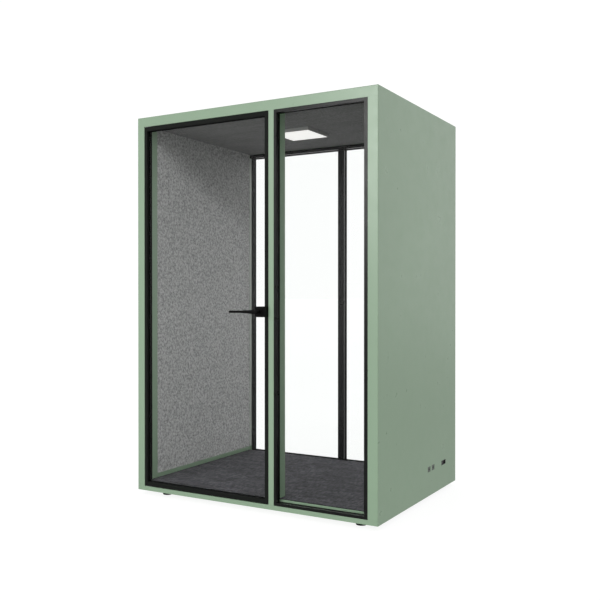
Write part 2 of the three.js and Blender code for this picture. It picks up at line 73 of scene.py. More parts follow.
def mm(v):
    return v / 1000


class Mat:
    """A material with a Principled shader, and short ways to feed it."""

    def __init__(self, name, **sockets):
        self.m = bpy.data.materials.new(name)
        self.m.use_nodes = True
        self.nt = self.m.node_tree
        self.nt.nodes.clear()
        self.out = self.nt.nodes.new("ShaderNodeOutputMaterial")
        self.b = self.nt.nodes.new("ShaderNodeBsdfPrincipled")
        self.nt.links.new(self.b.outputs[0], self.out.inputs[0])
        self.co = self.nt.nodes.new("ShaderNodeTexCoord").outputs["Object"]
        for k, v in sockets.items():
            self.b.inputs[k.replace("_", " ")].default_value = v

    def new(self, kind, **props):
        n = self.nt.nodes.new(kind)
        for k, v in props.items():
            setattr(n, k, v)
        return n

    def link(self, a, b):
        self.nt.links.new(a, b)

    def space(self, scale=(1, 1, 1), turn=(0, 0, 0)):
        n = self.new("ShaderNodeMapping")
        n.inputs["Scale"].default_value = scale
        n.inputs["Rotation"].default_value = [math.radians(a) for a in turn]
        self.link(self.co, n.inputs["Vector"])
        return n.outputs[0]

    def noise(self, scale, detail=2.0, rough=0.5, vec=None, distortion=0.0):
        n = self.new("ShaderNodeTexNoise")
        n.inputs["Scale"].default_value = scale
        n.inputs["Detail"].default_value = detail
        n.inputs["Roughness"].default_value = rough
        n.inputs["Distortion"].default_value = distortion
        self.link(vec or self.co, n.inputs["Vector"])
        return n.outputs["Fac"]

    def cells(self, scale, vec=None, feature="F1"):
        n = self.new("ShaderNodeTexVoronoi", feature=feature)
        n.inputs["Scale"].default_value = scale
        self.link(vec or self.co, n.inputs["Vector"])
        return n.outputs

    def ramp(self, fac, stops, mode="LINEAR"):
        n = self.new("ShaderNodeValToRGB")
        n.color_ramp.interpolation = mode
        e = n.color_ramp.elements
        while len(e) < len(stops):
            e.new(0.5)
        for el, (pos, col) in zip(e, stops):
            el.position = pos
            el.color = (*col, 1) if len(col) == 3 else col
        self.link(fac, n.inputs[0])
        return n.outputs["Color"]

    def span(self, fac, lo, hi, a, b):
        n = self.new("ShaderNodeMapRange", clamp=True)
        for i, v in zip(("From Min", "From Max", "To Min", "To Max"), (lo, hi, a, b)):
            n.inputs[i].default_value = v
        self.link(fac, n.inputs["Value"])
        return n.outputs[0]

    def math(self, op, a, b):
        n = self.new("ShaderNodeMath", operation=op)
        for s, v in zip(n.inputs, (a, b)):
            if isinstance(v, (int, float)):
                s.default_value = v
            else:
                self.link(v, s)
        return n.outputs[0]

    def mix(self, fac, a, b, blend="MIX"):
        n = self.new("ShaderNodeMix", data_type="RGBA", blend_type=blend)
        for s, v in zip((n.inputs[0], n.inputs[6], n.inputs[7]), (fac, a, b)):
            if isinstance(v, (int, float)):
                s.default_value = v
            elif isinstance(v, tuple):
                s.default_value = (*v, 1)
            else:
                self.link(v, s)
        return n.outputs[2]

    def bump(self, height, strength, distance, under=None):
        n = self.new("ShaderNodeBump")
        n.inputs["Strength"].default_value = strength
        n.inputs["Distance"].default_value = distance
        self.link(height, n.inputs["Height"])
        if under is not None:
            self.link(under, n.inputs["Normal"])
        return n.outputs[0]

    def set(self, **sockets):
        for k, v in sockets.items():
            self.link(v, self.b.inputs[k.replace("_", " ")])
        return self.m


def shade(rgb, f):
    return tuple(c * f for c in rgb)


# ------------------------------------------------------------------- materials
def powder_coat(name, rgb, rough, peel=0.10, specular=0.5, vary=0.03):
    """Sprayed and baked coating: orange peel, a fine grain and a slow drift in tone."""
    k = Mat(name, Specular_IOR_Level=specular)
    drift = k.noise(1.7, 3)
    grain = k.noise(1500, 2, 0.6)
    orange = k.noise(380, 2, 0.45)
    handled = k.noise(14, 5, 0.6)
    base = k.ramp(drift, [(0.28, shade(rgb, 1 - vary)), (0.72, shade(rgb, 1 + vary))])
    fleck = k.ramp(grain, [(0.35, (0.95, 0.95, 0.95)), (0.65, (1.0, 1.0, 1.0))])
    base = k.mix(1.0, base, fleck, "MULTIPLY")
    height = k.math("ADD", orange, k.math("MULTIPLY", grain, 0.35))
    return k.set(Base_Color=base,
                 Roughness=k.span(handled, 0.3, 0.7, rough - 0.05, rough + 0.06),
                 Normal=k.bump(height, peel, 0.0004))


def felt(name, dark, light, fleck=1.0, scale=1.0, streak=0.0):
    """Pressed polyester felt: a tangle of pale and dark fibres over a mottled ground."""
    k = Mat(name, Specular_IOR_Level=0.12, Sheen_Weight=0.12, Sheen_Roughness=0.6)
    k.b.inputs["Sheen Tint"].default_value = (0.8, 0.8, 0.82, 1)
    mottle = k.noise(74 * scale, 2, 0.5)
    fine = k.noise(420 * scale, 4, 0.7)
    fibres = None
    for a, turn in enumerate(((0, 17, 31), (74, 8, 12), (38, 62, 70), (118, 25, 147))):
        run = k.noise(1.0, 1.5, 0.5, k.space((70 * scale, 900 * scale, 900 * scale), turn), 0.35)
        strand = k.span(run, 0.60, 0.70, 0, 1)
        fibres = strand if fibres is None else k.math("MAXIMUM", fibres, strand)
    shadows = k.span(k.noise(1.0, 1.5, 0.5, k.space((620 * scale, 90 * scale, 620 * scale), (20, 50, 65)), 0.4), 0.60, 0.72, 0, 1)
    ground = k.ramp(mottle, [(0.34, dark), (0.50, tuple((a + b) / 2 for a, b in zip(dark, light))), (0.66, light)])
    ground = k.mix(1.0, ground, k.ramp(fine, [(0.3, (0.78, 0.78, 0.78)), (0.7, (1.12, 1.12, 1.12))]), "MULTIPLY")
    ground = k.mix(k.math("MULTIPLY", fibres, 0.34 * fleck), ground, tuple(min(1.0, c * 1.75) for c in light))
    ground = k.mix(k.math("MULTIPLY", shadows, 0.36 * fleck), ground, shade(dark, 0.45))
    if streak:
        drawn = k.noise(1.0, 3, 0.6, k.space((3.5, 30, 30)), 0.5)
        ground = k.mix(1.0, ground, k.ramp(drawn, [(0.3, (1 - streak,) * 3), (0.7, (1 + streak,) * 3)]), "MULTIPLY")
    height = k.math("ADD", k.math("MULTIPLY", fine, 0.6), k.math("ADD", fibres, mottle))
    return k.set(Base_Color=ground, Roughness=k.span(fine, 0.3, 0.7, 0.88, 1.0),
                 Normal=k.bump(height, 0.55, 0.0006))


def moulded(name, rgb, rough, specular=0.45):
    """Injection-moulded plastic with a fine spark-eroded grain."""
    k = Mat(name, Specular_IOR_Level=specular)
    grain = k.noise(2200, 3, 0.65)
    flow = k.noise(26, 3, 0.6)
    base = k.ramp(flow, [(0.3, shade(rgb, 0.93)), (0.7, shade(rgb, 1.06))])
    return k.set(Base_Color=base, Roughness=k.span(flow, 0.3, 0.7, rough - 0.05, rough + 0.06),
                 Normal=k.bump(grain, 0.18, 0.00015))


def rubber(name, rgb):
    k = Mat(name, Specular_IOR_Level=0.12)
    bloom = k.noise(45, 5, 0.65)
    pores = k.noise(1900, 2, 0.6)
    base = k.ramp(bloom, [(0.3, shade(rgb, 0.85)), (0.75, shade(rgb, 1.35))])
    return k.set(Base_Color=base, Roughness=k.span(bloom, 0.3, 0.7, 0.68, 0.85),
                 Normal=k.bump(pores, 0.22, 0.0002))


def brushed(name, rgb, rough, stretch, turn=(0, 0, 0)):
    """Brushed or drawn metal with the grain along one way."""
    k = Mat(name, Metallic=1.0, Anisotropic=0.45)
    lines = k.noise(1.0, 3, 0.6, k.space(stretch, turn))
    smear = k.noise(30, 4, 0.6)
    base = k.ramp(lines, [(0.25, shade(rgb, 0.84)), (0.75, shade(rgb, 1.08))])
    return k.set(Base_Color=base, Roughness=k.math("ADD", k.span(lines, 0.2, 0.8, rough - 0.06, rough + 0.06),
                                                   k.span(smear, 0.4, 0.8, 0, 0.08)),
                 Normal=k.bump(lines, 0.12, 0.0001))


def clear_glass(name, tint, mirror):
    """Float glass: what lies behind it shows through, and its faces mirror more towards a glancing look."""
    k = Mat(name)
    k.nt.nodes.remove(k.b)
    see = k.new("ShaderNodeBsdfTransparent")
    see.inputs["Color"].default_value = (*tint, 1)
    gloss = k.new("ShaderNodeBsdfGlossy")
    gloss.inputs["Color"].default_value = (1, 1, 1, 1)
    wipe = k.noise(5, 4, 0.6)
    k.link(k.span(wipe, 0.4, 0.8, 0.0, 0.035), gloss.inputs["Roughness"])
    k.link(k.bump(k.noise(3.1, 1), 0.04, 0.0006), gloss.inputs["Normal"])
    edge = k.new("ShaderNodeLayerWeight")
    edge.inputs["Blend"].default_value = 0.5
    f = k.math("ADD", mirror, k.math("MULTIPLY", k.math("POWER", edge.outputs["Facing"], 5.0), 0.9))
    both = k.new("ShaderNodeMixShader")
    k.link(f, both.inputs[0])
    k.link(see.outputs[0], both.inputs[1])
    k.link(gloss.outputs[0], both.inputs[2])
    k.link(both.outputs[0], k.out.inputs[0])
    return k.m


def needle_carpet(name, dark, light):
    """Flat needle-punched carpet: clumps and short drawn fibres over a close, dull pile."""
    k = Mat(name, Specular_IOR_Level=0.08, Sheen_Weight=0.10, Sheen_Roughness=0.7)
    sweep = k.noise(1.0, 3, 0.6, k.space((9.0, 17, 17)), 0.7)
    streak = k.noise(1.0, 1.0, 0.5, k.space((95, 26, 26)), 0.5)
    thread = k.noise(1.0, 2, 0.5, k.space((80, 900, 900)), 0.4)
    pile = k.noise(700, 3, 0.7)
    base = k.ramp(sweep, [(0.36, dark), (0.50, tuple((a + b) / 2 for a, b in zip(dark, light))), (0.64, light)])
    base = k.mix(1.0, base, k.ramp(streak, [(0.32, (0.38, 0.38, 0.38)), (0.68, (1.62, 1.62, 1.62))]), "MULTIPLY")
    base = k.mix(1.0, base, k.ramp(pile, [(0.3, (0.72, 0.72, 0.72)), (0.7, (1.15, 1.15, 1.15))]), "MULTIPLY")
    base = k.mix(k.span(thread, 0.60, 0.74, 0, 0.35), base, shade(light, 1.5))
    height = k.math("ADD", pile, k.math("ADD", thread, streak))
    return k.set(Base_Color=base, Roughness=k.span(pile, 0.3, 0.7, 0.9, 1.0), Normal=k.bump(height, 0.6, 0.0009))


def lit_panel(name):
    """Opal light panel with a fine prism pattern, lit from behind."""
    k = Mat(name, Roughness=0.35, Emission_Strength=0.73)
    cell = k.cells(105)
    warm = k.noise(6, 2)
    glow = k.mix(k.span(cell["Distance"], 0.0, 0.7, 0.0, 0.10), (1.0, 0.985, 0.955), (0.93, 0.915, 0.88))
    k.link(glow, k.b.inputs["Emission Color"])
    return k.set(Base_Color=k.ramp(warm, [(0.3, (0.50, 0.50, 0.49)), (0.7, (0.55, 0.55, 0.54))]),
                 Normal=k.bump(cell["Distance"], 0.3, 0.0006))


def particle_board(name):
    k = Mat(name, Roughness=0.8)
    chips = k.cells(230, k.space((1, 0.5, 1)))
    tone = k.noise(9, 3)
    base = k.ramp(chips["Color"], [(0.1, (0.30, 0.20, 0.11)), (0.9, (0.52, 0.38, 0.23))])
    base = k.mix(k.span(tone, 0.3, 0.7, 0, 0.3), base, (0.42, 0.30, 0.17))
    return k.set(Base_Color=base, Normal=k.bump(chips["Distance"], 0.3, 0.0004))


def mineral_core(name):
    k = Mat(name, Roughness=0.95)
    wool = k.noise(160, 5, 0.75, k.space((1, 1, 3)))
    return k.set(Base_Color=k.ramp(wool, [(0.3, (0.42, 0.39, 0.31)), (0.7, (0.66, 0.62, 0.52))]),
                 Normal=k.bump(wool, 0.6, 0.001))


GREEN_RGB = (0.312, 0.448, 0.306)
GREEN = powder_coat("sage_powder_coat", GREEN_RGB, 0.32, 0.035, 0.5)
# a lighter copy of the sage coat for the rounded edge faces: a painted highlight along every edge
GREEN_PAINTED_HIGHLIGHT = powder_coat("sage_powder_coat_painted_highlight", shade(GREEN_RGB, 1.05), 0.32, 0.04, 0.5)
BLACK_RGB = (0.0125, 0.0142, 0.0125)
BLACK = powder_coat("black_satin_coat", BLACK_RGB, 0.46, 0.12, 0.10, 0.10)
# a lighter copy of the black coat for the rounded edge faces of the door rails: a painted highlight along every edge
BLACK_PAINTED_HIGHLIGHT = powder_coat("black_satin_coat_painted_highlight", shade(BLACK_RGB, 1.2), 0.42, 0.06, 0.14, 0.10)
BLACK_BEAD = powder_coat("black_bead_coat", (0.0062, 0.0070, 0.0062), 0.31, 0.06, 0.29, 0.10)
BLACK_REAR = powder_coat("black_gloss_coat", (0.0050, 0.0054, 0.0050), 0.24, 0.04, 0.5, 0.10)
BLACK_LOCK = powder_coat("black_lock_coat", (0.0030, 0.0032, 0.0030), 0.46, 0.10, 0.14, 0.10)
GREY_COAT = powder_coat("grey_light_frame", (0.46, 0.46, 0.45), 0.5, 0.08, 0.35)
# pale sage for the rear cover strips: a painted highlight in place of the light on the rear jambs' inner edges
TRIM_PAINTED_HIGHLIGHT = powder_coat("pale_sage_trim_painted_highlight", (0.70, 0.75, 0.69), 0.42, 0.06, 0.4)
WALL_FELT = felt("wall_felt", (0.232, 0.232, 0.230), (0.560, 0.560, 0.557))
CEILING_FELT = felt("ceiling_felt", (0.146, 0.146, 0.143), (0.236, 0.236, 0.232), 0.35, 1.2, 0.12)
CARPET = needle_carpet("needle_carpet", (0.0352, 0.0338, 0.0413), (0.0836, 0.0802, 0.0963))
GLASS = clear_glass("clear_glass", (0.988, 0.992, 0.990), 0.010)
RUBBER = rubber("black_rubber", (0.0065, 0.0068, 0.0065))
PLASTIC = moulded("black_plastic", (0.013, 0.0135, 0.0135), 0.48)
GREY = moulded("grey_plastic", (0.150, 0.175, 0.150), 0.52, 0.3)
WHITE = moulded("white_plastic", (0.72, 0.72, 0.70), 0.36)
STEEL = brushed("plain_steel", (0.48, 0.49, 0.50), 0.34, (1500, 1500, 24))
ALU = brushed("grey_aluminium", (0.50, 0.51, 0.52), 0.36, (18, 1500, 1500))
ZINC = brushed("zinc_screw", (0.42, 0.43, 0.44), 0.38, (900, 900, 900))
BRASS = brushed("contact_gold", (0.72, 0.52, 0.22), 0.28, (800, 60, 800))
CORE = mineral_core("acoustic_core")
BOARD = particle_board("floor_board")
LIGHT = lit_panel("light_diffuser")


# --------------------------------------------------- CAD pieces, softened edges
def dress(node, material, edge=None, width=1.0, segments=2, angle=32, facets=True):
    """Gives a CAD node its material and small rounded edges, as folded or sawn metal has."""
    o = NODES[node]
    if not o.material_slots:
        o.data.materials.append(material)
    for s in o.material_slots:
        s.material = material
    w = o.modifiers.new("weld", "WELD")
    w.merge_threshold = 2e-5
    d = o.modifiers.new("flat", "DECIMATE")
    d.decimate_type = "DISSOLVE"
    d.angle_limit = math.radians(0.8)
    if width:
        if facets:
            t = o.modifiers.new("facets", "TRIANGULATE")
            t.ngon_method = "BEAUTY"
            t.quad_method = "BEAUTY"
        b = o.modifiers.new("edge", "BEVEL")
        b.width = mm(width)
        b.segments = segments
        b.limit_method = "ANGLE"
        b.angle_limit = math.radians(angle)
        b.use_clamp_overlap = True
        b.loop_slide = False
        b.miter_outer = "MITER_SHARP"
        # the edge material is a lighter copy of the coat, so the bevel faces carry a painted highlight along each edge
        if edge is not None:
            o.data.materials.append(edge)
            b.material = len(o.material_slots) - 1
    return o


for n in ("front_left_jamb", "front_right_jamb", "front_mullion", "front_header", "front_sill",
          "rear_header", "rear_sill", "rear_left_jamb", "rear_right_jamb"):
    dress(n, GREEN, GREEN_PAINTED_HIGHLIGHT, 0.9)
for n in ("left_outer_panel", "right_outer_panel", "roof_panel"):
    dress(n, GREEN, GREEN_PAINTED_HIGHLIGHT, 0.7)
for n in ("left_skirting", "right_skirting"):
    dress(n, GREEN, GREEN_PAINTED_HIGHLIGHT, 1.2, 3)
for n in ("door_top_rail", "door_bottom_rail", "door_hinge_stile", "door_latch_stile"):
    dress(n, BLACK, BLACK_PAINTED_HIGHLIGHT, 0.8)
dress("front_bead_frame", BLACK_BEAD, None, 0.8)
for n in ("rear_bead_frame", "rear_mullion"):
    dress(n, BLACK_REAR, None, 0.45)
dress("lock_case", BLACK_LOCK, None, 2.2, 3, facets=False)
for n in ("door_glass", "front_glass", "rear_glass_left", "rear_glass_right"):
    dress(n, GLASS, None, 0.8, 1)
dress("threshold_strip", ALU, None, 0.35)
dress("door_seal", RUBBER, None, 0.6, 3)
for n in ("bottom_pivot", "top_pivot", "strike_plate", "latch_bolt"):
    dress(n, STEEL, None, 0.35)
dress("base_tray", STEEL, None, 0.6)
dress("light_housing", GREY_COAT, None, 0.6)
dress("floor_board", BOARD, None, 0.6)
for n in ("left_acoustic_core", "right_acoustic_core", "roof_acoustic_core"):
    dress(n, CORE, None, 1.0)
for n in ("fan_1_frame", "fan_2_frame"):
    dress(n, PLASTIC, None, 0.8)
for n in ("fan_1_rotor", "fan_2_rotor"):
    dress(n, PLASTIC, None, 0.2, 1)
for n in ("ceiling_grille_1", "ceiling_grille_2"):
    dress(n, PLASTIC, None, 0.5)
dress("power_inlet", PLASTIC, None, 0.25, facets=False)
dress("data_sockets", GREY, None, 0.35)
dress("switch_plate", WHITE, None, 1.2, 3)
for n in ("light_switch", "fan_switch"):
    dress(n, WHITE, None, 0.7, 3)


# ------------------------------------------------------------- new mesh pieces
def piece(name, bm, material, body, replaces=(), sharp=40):
    bmesh.ops.remove_doubles(bm, verts=bm.verts, dist=1e-7)
    bmesh.ops.recalc_face_normals(bm, faces=bm.faces)
    me = bpy.data.meshes.new(name)
    bm.to_mesh(me)
    bm.free()
    me.materials.append(material)
    me.polygons.foreach_set("use_smooth", [True] * len(me.polygons))
    me.set_sharp_from_angle(angle=math.radians(sharp))
    o = bpy.data.objects.new(name, me)
    scene.collection.objects.link(o)
    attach(o, body)
    if replaces:
        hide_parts(*replaces)
    return o


def skin(bm, rings, closed=True, caps=True):
    """Quads over rings of points, each ring closed, with a fan at either end."""
    vs = [[bm.verts.new(p) for p in r] for r in rings]
    n = len(vs[0])
    for a, b in zip(vs, vs[1:]):
        for i in range(n if closed else n - 1):
            j = (i + 1) % n
            bm.faces.new((a[i], a[j], b[j], b[i]))
    if caps:
        for r in (vs[0], vs[-1]):
            bm.faces.new(r if r is vs[0] else r[::-1])
    return vs


def turned(bm, profile, at, axis="z", n=48, phase=0.0):
    """A turned solid: profile is [radius, height] in millimetres along the axis from at."""
    ways = {"z": ((1, 0, 0), (0, 1, 0), (0, 0, 1)), "y": ((1, 0, 0), (0, 0, -1), (0, 1, 0)),
            "-y": ((1, 0, 0), (0, 0, 1), (0, -1, 0)), "x": ((0, 1, 0), (0, 0, 1), (1, 0, 0)),
            "-x": ((0, 1, 0), (0, 0, -1), (-1, 0, 0)), "-z": ((1, 0, 0), (0, -1, 0), (0, 0, -1))}
    u, v, w = (Vector(a) for a in ways[axis])
    rings = []
    for r, h in profile:
        rings.append([at + w * mm(h) + (u * math.cos(t) + v * math.sin(t)) * mm(r)
                      for t in (2 * math.pi * i / n + phase for i in range(n))])
    skin(bm, rings)


def screw_head(bm, at, axis, r, h, turn=0.0):
    """A small pan head with a hexagon socket."""
    ways = {"y": ((1, 0, 0), (0, 0, -1), (0, 1, 0)), "-y": ((1, 0, 0), (0, 0, 1), (0, -1, 0)),
            "x": ((0, 1, 0), (0, 0, 1), (1, 0, 0)), "-x": ((0, 1, 0), (0, 0, -1), (-1, 0, 0)),
            "-z": ((1, 0, 0), (0, -1, 0), (0, 0, -1)), "z": ((1, 0, 0), (0, 1, 0), (0, 0, 1))}
    u, v, w = (Vector(a) for a in ways[axis])
    n = 24

    def ring(radius, height, hexagon=False):
        out = []
        for i in range(n):
            t = 2 * math.pi * i / n
            q = radius
            if hexagon:
                q = radius * math.cos(math.pi / 6) / math.cos((t % (math.pi / 3)) - math.pi / 6)
            out.append(at + w * mm(height) + (u * math.cos(t + turn) + v * math.sin(t + turn)) * mm(q))
        return out

    skin(bm, [ring(r, 0), ring(r, h * 0.45), ring(r * 0.93, h * 0.8), ring(r * 0.78, h),
              ring(r * 0.55, h, True), ring(r * 0.52, h - h * 0.7, True)])


def box_mesh(bm, lo, hi, bevel=0.0, segments=2):
    """A box with rounded edges, corners in the shared frame."""
    m = Matrix.Translation((lo + hi) / 2) @ Matrix.Diagonal((*(hi - lo), 1))
    got = bmesh.ops.create_cube(bm, size=1.0, matrix=m)
    if bevel:
        edges = list({e for v in got["verts"] for e in v.link_edges})
        bmesh.ops.bevel(bm, geom=edges, offset=mm(bevel), segments=segments, profile=0.5, affect="EDGES")


def frame_strip(bm, inset, profile, place, gap=None):
    """A strip with mitred corners round a rectangle. inset(a) gives the corners moved in by a,
    place(u, v, off) puts a point in the shared frame, profile is [a, off] round the section.
    gap leaves the strip open: inset then gives its two ends as well."""
    loops = [[place(*q, off) for q in inset(a)] for a, off in profile]
    n, m = len(profile), len(loops[0])
    vs = [[bm.verts.new(p) for p in loop] for loop in loops]
    for i in range(n):
        j = (i + 1) % n
        for k in range(m if gap is None else m - 1):
            l = (k + 1) % m
            bm.faces.new((vs[i][k], vs[i][l], vs[j][l], vs[j][k]))
    if gap is not None:
        bm.faces.new([vs[i][0] for i in range(n)])
        bm.faces.new([vs[i][-1] for i in range(n)][::-1])


def gasket_section(w, h):
    """A rubber wedge on the glass: w along the glass, h off it, rounded where it meets the pane."""
    pts = [(-0.25, 0.15), (-0.25, h)]
    for i in range(1, 7):
        t = math.pi / 2 * i / 6
        pts.append((w * 0.35 + w * 0.65 * math.sin(t), h * math.cos(t) + 0.15 * (1 - math.cos(t))))
    return pts


# -------------------------------------------------- soft boards, floor covering
def board(name, lo, hi, axis, material, body, node, round_mm, step, relief, holes=()):
    """A pressed board: its show face is a fine grid with the lie of the fibre in it and rounded rims.
    axis says which way the show face looks: +x, -x, +z or -z."""
    bm = bmesh.new()
    s = 1 if axis[0] == "+" else -1
    if axis[1] == "x":
        dims, depth = (hi.y - lo.y, hi.z - lo.z), hi.x - lo.x
        face = hi.x if s > 0 else lo.x
        put = lambda u, v, d: Vector((face - s * d, lo.y + u, lo.z + v))
    else:
        dims, depth = (hi.x - lo.x, hi.y - lo.y), hi.z - lo.z
        face = hi.z if s > 0 else lo.z
        put = lambda u, v, d: Vector((lo.x + u, lo.y + v, face - s * d))
    r = mm(round_mm)

    def marks(length):
        rim = [r * (1 - math.cos(math.pi / 2 * i / 3)) for i in range(3)]
        n = max(2, round((length - 2 * r) / mm(step)))
        mid = [r + (length - 2 * r) * i / n for i in range(n + 1)]
        return rim + mid + [length - a for a in rim[::-1]]

    us, vs = marks(dims[0]), marks(dims[1])
    grid = []
    for u in us:
        row = []
        for v in vs:
            du, dv = max(0.0, r - u, u - dims[0] + r), max(0.0, r - v, v - dims[1] + r)
            q = min(1.0, math.hypot(du, dv) / r)
            d = r * (1 - math.sqrt(max(0.0, 1 - q * q)))
            if q == 0:
                d -= relief(u, v)
            row.append(bm.verts.new(put(u, v, d)))
        grid.append(row)
    for a, b in zip(grid, grid[1:]):
        for i in range(len(vs) - 1):
            bm.faces.new((a[i], a[i + 1], b[i + 1], b[i]))
    loop = [(i, 0) for i in range(len(us))] + [(len(us) - 1, j) for j in range(1, len(vs))]
    loop += [(i, len(vs) - 1) for i in range(len(us) - 2, -1, -1)] + [(0, j) for j in range(len(vs) - 2, 0, -1)]
    rim = [grid[i][j] for i, j in loop]
    back = [bm.verts.new(put(us[i], vs[j], depth)) for i, j in loop]
    for i in range(len(rim)):
        j = (i + 1) % len(rim)
        bm.faces.new((rim[i], rim[j], back[j], back[i]))
    bm.faces.new(back)
    return piece(name, bm, material, body, [node], 50)


def felt_relief(u, v):
    p = Vector((u * 95, v * 95, 3.7))
    q = Vector((u * 21, v * 21, 9.1))
    return 0.00022 * noise.noise(p) + 0.00016 * noise.noise(q)


for side, axis in (("left", "+x"), ("right", "-x")):
    lo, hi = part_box(f"{side}_felt_panel")
    board(f"{side}_felt_board", lo, hi, axis, WALL_FELT, "shell", f"{side}_felt_panel", 2.5, 8.0, felt_relief)


def carpet_relief(u, v):
    long = noise.noise(Vector((u * 16, v * 74, 1.3)))
    row = math.sin(v * 2 * math.pi / 0.0104 + 1.6 * noise.noise(Vector((u * 7, v * 30, 5.5))))
    wall = min(u, 1.5 - u) - 0.0135                       # a tucked-in groove along each skirting
    return 0.00035 * long + 0.00022 * row - 0.0004 - 0.0026 * math.exp(-((wall / 0.0028) ** 2))


lo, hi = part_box("carpet")
carpet = board("carpet_sheet", lo, hi, "+z", CARPET, "shell", "carpet", 1.2, 3.5, carpet_relief)

# ceiling board: the CAD outline with its cut-outs, edges pressed round
ceiling = bmesh.new()
ceiling.from_mesh(NODES["ceiling_felt_panel"].data)
bmesh.ops.remove_doubles(ceiling, verts=ceiling.verts, dist=1e-5)
bmesh.ops.dissolve_limit(ceiling, angle_limit=math.radians(0.8), verts=ceiling.verts, edges=ceiling.edges)
bmesh.ops.bevel(ceiling, geom=[e for e in ceiling.edges if len(e.link_faces) == 2 and e.calc_face_angle() > 0.6],
                offset=mm(2.0), segments=3, profile=0.5, affect="EDGES", clamp_overlap=True)
piece("ceiling_board", ceiling, CEILING_FELT, "shell", ["ceiling_felt_panel"], 50)


# ----------------------------------------------------------------------- glazing
def rect(x0, x1, z0, z1):
    return lambda a: [(x0 + mm(a), z0 + mm(a)), (x1 - mm(a), z0 + mm(a)), (x1 - mm(a), z1 - mm(a)), (x0 + mm(a), z1 - mm(a))]


def glazing(name, body, x0, x1, z0, z1, y, out, w=4.0, h=3.0, gap=None):
    """A gasket on a pane. Edges of the daylight opening, the glass face and which way it looks, in millimetres."""
    bm = bmesh.new()
    X0, X1, Z0, Z1 = mm(x0), mm(x1), mm(z0), mm(z1)
    if gap is None:
        inset = rect(X0, X1, Z0, Z1)
    else:
        g0, g1 = mm(gap[0]), mm(gap[1])
        inset = lambda a: [(X1 - mm(a), g1), (X1 - mm(a), Z1 - mm(a)), (X0 + mm(a), Z1 - mm(a)),
                           (X0 + mm(a), Z0 + mm(a)), (X1 - mm(a), Z0 + mm(a)), (X1 - mm(a), g0)]
    place = lambda u, v, off: Vector((u, mm(y + DY + out * off), v))
    frame_strip(bm, inset, gasket_section(w, h), place, gap)
    return piece(name, bm, RUBBER, body, (), 30)


# daylight openings in millimetres: door, fixed pane, rear panes
D_X0, D_X1, D_Z0, D_Z1 = -733.0, 114.0, 79.0, 2216.0
LOCK = (1094.0, 1155.0)
glazing("door_gasket_outer", "door", D_X0, D_X1, D_Z0, D_Z1, -588.0, -1, 4.0, 3.5, LOCK)
glazing("door_gasket_inner", "door", D_X0, D_X1, D_Z0, D_Z1, -578.0, 1, 4.0, 3.5, LOCK)
F_X0, F_X1, F_Z0, F_Z1 = 191.3, 724.5, 67.5, 2225.0
glazing("fixed_gasket_outer", "shell", F_X0, F_X1, F_Z0, F_Z1, -572.7, -1, 3.0, 3.5)
glazing("fixed_gasket_inner", "shell", 187.0, 731.0, 80.7, 2231.0, -560.8, 1, 2.5, 2.2)
R_Z0, R_Z1 = 80.0, 2220.0
for tag, x0, x1 in (("left", -723.7, -23.0), ("right", 23.0, 723.7)):
    glazing(f"rear_gasket_{tag}_inner", "shell", x0, x1, R_Z0, R_Z1, 584.0, -1, 4.0, 3.5)
    glazing(f"rear_gasket_{tag}_outer", "shell", x0, x1, R_Z0, R_Z1, 594.0, 1, 4.0, 3.0)


# cover strips on the rear jambs, between the wall felt and the glazing; their pale sage is a painted highlight that
# stands in for the light caught by the rear jambs' inner edges
for tag, sx in (("left", -1), ("right", 1)):
    bm = bmesh.new()
    a, b = sorted((sx * 740.0, sx * 738.6))
    box_mesh(bm, P(a, 540.6, 112.0), P(b, 567.5, 2218.5), 0.5, 2)
    piece(f"rear_{tag}_cover_strip", bm, TRIM_PAINTED_HIGHLIGHT, "shell", (), 35)

# black angle that closes the floor board's rear edge and covers the sill up to the glazing
bm = bmesh.new()
ANGLE = [(540.4, 63.8), (540.4, 82.4), (540.6, 82.9), (541.1, 83.1), (541.6, 82.9), (542.0, 82.3), (543.3, 79.6),
         (544.2, 79.1), (545.2, 79.0), (567.9, 79.0), (568.3, 78.9), (568.5, 78.5), (568.5, 77.6), (542.9, 77.4),
         (542.4, 77.3), (542.2, 76.8), (542.2, 63.8)]
skin(bm, [[P(x, y, z) for y, z in ANGLE] for x in (-739.4, -370.0, 0.0, 370.0, 739.4)])
piece("rear_floor_angle", bm, BLACK, "shell", (), 35)


# ------------------------------------------------------------------ lever handles
HUB_X, HUB_Z = 92.0, 1124.5


def spline(xs, ys, x):
    """Smooth interpolation through the given stations."""
    i = max(0, min(len(xs) - 2, next((k for k in range(len(xs) - 1) if x <= xs[k + 1]), len(xs) - 2)))
    t = (x - xs[i]) / (xs[i + 1] - xs[i])

    def slope(k):
        if k == 0 or k == len(xs) - 1:
            return 0.0
        return (ys[k + 1] - ys[k - 1]) / (xs[k + 1] - xs[k - 1])

    h = xs[i + 1] - xs[i]
    a, b, m0, m1 = ys[i], ys[i + 1], slope(i) * h, slope(i + 1) * h
    return (2 * t**3 - 3 * t**2 + 1) * a + (t**3 - 2 * t**2 + t) * m0 + (-2 * t**3 + 3 * t**2) * b + (t**3 - t**2) * m1


